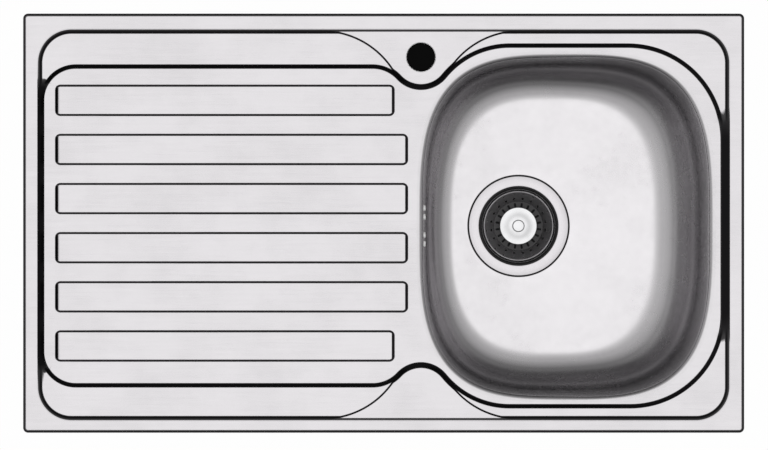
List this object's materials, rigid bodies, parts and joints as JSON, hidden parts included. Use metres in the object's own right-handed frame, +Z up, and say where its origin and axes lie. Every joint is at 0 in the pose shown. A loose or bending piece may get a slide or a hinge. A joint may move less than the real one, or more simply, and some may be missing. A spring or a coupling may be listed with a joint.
{
  "type": "kitchen sink with drainboard",
  "caption": "Inset stainless kitchen sink with a deep bowl, ribbed drainboard, tap hole and overflow. Its basket strainer lifts out, and clamps hold it in the worktop.",
  "frame": {"origin": "centre of the worktop cut-out, on the worktop's top surface, which is the rim seal's underside", "axes": "+X along the worktop towards the bowl, +Y towards the tap ledge at the back, +Z up"},
  "size_m": [0.86, 0.5, 0.266],
  "materials": {
    "brushed_steel": "fine satin grain running along the sink",
    "polished_steel": "polished stainless",
    "darkened_steel": "darkened stainless with a bright worn rim",
    "zinc_steel": "zinc plated",
    "white_plastic": "satin moulded",
    "grey_plastic": "satin extruded",
    "black_rubber": "matte moulded",
    "seal_foam": "closed-cell foam",
    "damping_pad": "dull bitumen sheet",
    "brass": "turned"
  },
  "bodies": {
    "sink": {"deck": "brushed_steel", "bowl": "brushed_steel", "rim_seal": "seal_foam", "tap_stiffener": "zinc_steel", "sound_pad": "damping_pad", "hanger_brackets": "zinc_steel", "weld_nuts": "zinc_steel", "flange_seal": "black_rubber", "strainer_dish": "polished_steel", "body_gasket": "black_rubber", "waste_body": "white_plastic", "insert_nut": "brass", "waste_screw": "polished_steel", "overflow_gasket": "black_rubber", "overflow_head": "white_plastic", "overflow_screw": "polished_steel", "overflow_pipe": "grey_plastic", "head_nut": "white_plastic", "head_washer": "black_rubber", "body_nut": "white_plastic", "body_washer": "black_rubber"},
    "strainer": {"basket_stem": "polished_steel", "basket_seal": "black_rubber", "stem_clip": "white_plastic"},
    "basket": {"basket_cup": "darkened_steel", "basket_cap": "polished_steel", "basket_knob": "polished_steel"},
    "clamp_1": {"clamp_washer_1": "zinc_steel"},
    "claw_1": {"clamp_claw_1": "zinc_steel"},
    "screw_1": {"clamp_screw_1": "zinc_steel"},
    "clamp_2": {"clamp_washer_2": "zinc_steel"},
    "claw_2": {"clamp_claw_2": "zinc_steel"},
    "screw_2": {"clamp_screw_2": "zinc_steel"},
    "clamp_3": {"clamp_washer_3": "zinc_steel"},
    "claw_3": {"clamp_claw_3": "zinc_steel"},
    "screw_3": {"clamp_screw_3": "zinc_steel"},
    "clamp_4": {"clamp_washer_4": "zinc_steel"},
    "claw_4": {"clamp_claw_4": "zinc_steel"},
    "screw_4": {"clamp_screw_4": "zinc_steel"},
    "clamp_5": {"clamp_washer_5": "zinc_steel"},
    "claw_5": {"clamp_claw_5": "zinc_steel"},
    "screw_5": {"clamp_screw_5": "zinc_steel"},
    "clamp_6": {"clamp_washer_6": "zinc_steel"},
    "claw_6": {"clamp_claw_6": "zinc_steel"},
    "screw_6": {"clamp_screw_6": "zinc_steel"},
    "clamp_7": {"clamp_washer_7": "zinc_steel"},
    "claw_7": {"clamp_claw_7": "zinc_steel"},
    "screw_7": {"clamp_screw_7": "zinc_steel"},
    "clamp_8": {"clamp_washer_8": "zinc_steel"},
    "claw_8": {"clamp_claw_8": "zinc_steel"},
    "screw_8": {"clamp_screw_8": "zinc_steel"}
  },
  "joints": [
    {"name": "basket_lift", "type": "slide", "parent": "sink", "child": "strainer", "axis": [0, 0, 1], "range_m": [0, 0.22]},
    {"name": "basket_turn", "type": "hinge", "parent": "strainer", "child": "basket", "pos_m": [0.162, -0.0033, -0.18], "axis": [0, 0, 1], "continuous": true},
    {"name": "clamp_1_travel", "type": "slide", "parent": "sink", "child": "clamp_1", "axis": [0, 0, 1], "range_m": [0, 0.014]},
    {"name": "claw_1_turn", "type": "hinge", "parent": "clamp_1", "child": "claw_1", "pos_m": [-0.3612, 0.2215, -0.05], "axis": [0, 0, -1], "range_deg": [0, 90]},
    {"name": "screw_1_turn", "type": "hinge", "parent": "clamp_1", "child": "screw_1", "pos_m": [-0.3612, 0.2215, -0.05], "axis": [0, 0, 1], "range_deg": [0, 6300]},
    {"name": "clamp_2_travel", "type": "slide", "parent": "sink", "child": "clamp_2", "axis": [0, 0, 1], "range_m": [0, 0.014]},
    {"name": "claw_2_turn", "type": "hinge", "parent": "clamp_2", "child": "claw_2", "pos_m": [-0.129, 0.2215, -0.05], "axis": [0, 0, -1], "range_deg": [0, 90]},
    {"name": "screw_2_turn", "type": "hinge", "parent": "clamp_2", "child": "screw_2", "pos_m": [-0.129, 0.2215, -0.05], "axis": [0, 0, 1], "range_deg": [0, 6300]},
    {"name": "clamp_3_travel", "type": "slide", "parent": "sink", "child": "clamp_3", "axis": [0, 0, 1], "range_m": [0, 0.014]},
    {"name": "claw_3_turn", "type": "hinge", "parent": "clamp_3", "child": "claw_3", "pos_m": [0.2064, 0.2215, -0.05], "axis": [0, 0, -1], "range_deg": [0, 90]},
    {"name": "screw_3_turn", "type": "hinge", "parent": "clamp_3", "child": "screw_3", "pos_m": [0.2064, 0.2215, -0.05], "axis": [0, 0, 1], "range_deg": [0, 6300]},
    {"name": "clamp_4_travel", "type": "slide", "parent": "sink", "child": "clamp_4", "axis": [0, 0, 1], "range_m": [0, 0.014]},
    {"name": "claw_4_turn", "type": "hinge", "parent": "clamp_4", "child": "claw_4", "pos_m": [0.3612, 0.2215, -0.05], "axis": [0, 0, -1], "range_deg": [0, 90]},
    {"name": "screw_4_turn", "type": "hinge", "parent": "clamp_4", "child": "screw_4", "pos_m": [0.3612, 0.2215, -0.05], "axis": [0, 0, 1], "range_deg": [0, 6300]},
    {"name": "clamp_5_travel", "type": "slide", "parent": "sink", "child": "clamp_5", "axis": [0, 0, 1], "range_m": [0, 0.014]},
    {"name": "claw_5_turn", "type": "hinge", "parent": "clamp_5", "child": "claw_5", "pos_m": [-0.3612, -0.2255, -0.05], "axis": [0, 0, -1], "range_deg": [0, 90]},
    {"name": "screw_5_turn", "type": "hinge", "parent": "clamp_5", "child": "screw_5", "pos_m": [-0.3612, -0.2255, -0.05], "axis": [0, 0, 1], "range_deg": [0, 6300]},
    {"name": "clamp_6_travel", "type": "slide", "parent": "sink", "child": "clamp_6", "axis": [0, 0, 1], "range_m": [0, 0.014]},
    {"name": "claw_6_turn", "type": "hinge", "parent": "clamp_6", "child": "claw_6", "pos_m": [-0.129, -0.2255, -0.05], "axis": [0, 0, -1], "range_deg": [0, 90]},
    {"name": "screw_6_turn", "type": "hinge", "parent": "clamp_6", "child": "screw_6", "pos_m": [-0.129, -0.2255, -0.05], "axis": [0, 0, 1], "range_deg": [0, 6300]},
    {"name": "clamp_7_travel", "type": "slide", "parent": "sink", "child": "clamp_7", "axis": [0, 0, 1], "range_m": [0, 0.014]},
    {"name": "claw_7_turn", "type": "hinge", "parent": "clamp_7", "child": "claw_7", "pos_m": [0.2064, -0.2255, -0.05], "axis": [0, 0, -1], "range_deg": [0, 90]},
    {"name": "screw_7_turn", "type": "hinge", "parent": "clamp_7", "child": "screw_7", "pos_m": [0.2064, -0.2255, -0.05], "axis": [0, 0, 1], "range_deg": [0, 6300]},
    {"name": "clamp_8_travel", "type": "slide", "parent": "sink", "child": "clamp_8", "axis": [0, 0, 1], "range_m": [0, 0.014]},
    {"name": "claw_8_turn", "type": "hinge", "parent": "clamp_8", "child": "claw_8", "pos_m": [0.3612, -0.2255, -0.05], "axis": [0, 0, -1], "range_deg": [0, 90]},
    {"name": "screw_8_turn", "type": "hinge", "parent": "clamp_8", "child": "screw_8", "pos_m": [0.3612, -0.2255, -0.05], "axis": [0, 0, 1], "range_deg": [0, 6300]}
  ],
  "couplings": [
    {"joint": "screw_1_turn", "follows": "clamp_1_travel", "rad_per_m": 7854},
    {"joint": "screw_2_turn", "follows": "clamp_2_travel", "rad_per_m": 7854},
    {"joint": "screw_3_turn", "follows": "clamp_3_travel", "rad_per_m": 7854},
    {"joint": "screw_4_turn", "follows": "clamp_4_travel", "rad_per_m": 7854},
    {"joint": "screw_5_turn", "follows": "clamp_5_travel", "rad_per_m": 7854},
    {"joint": "screw_6_turn", "follows": "clamp_6_travel", "rad_per_m": 7854},
    {"joint": "screw_7_turn", "follows": "clamp_7_travel", "rad_per_m": 7854},
    {"joint": "screw_8_turn", "follows": "clamp_8_travel", "rad_per_m": 7854}
  ]
}
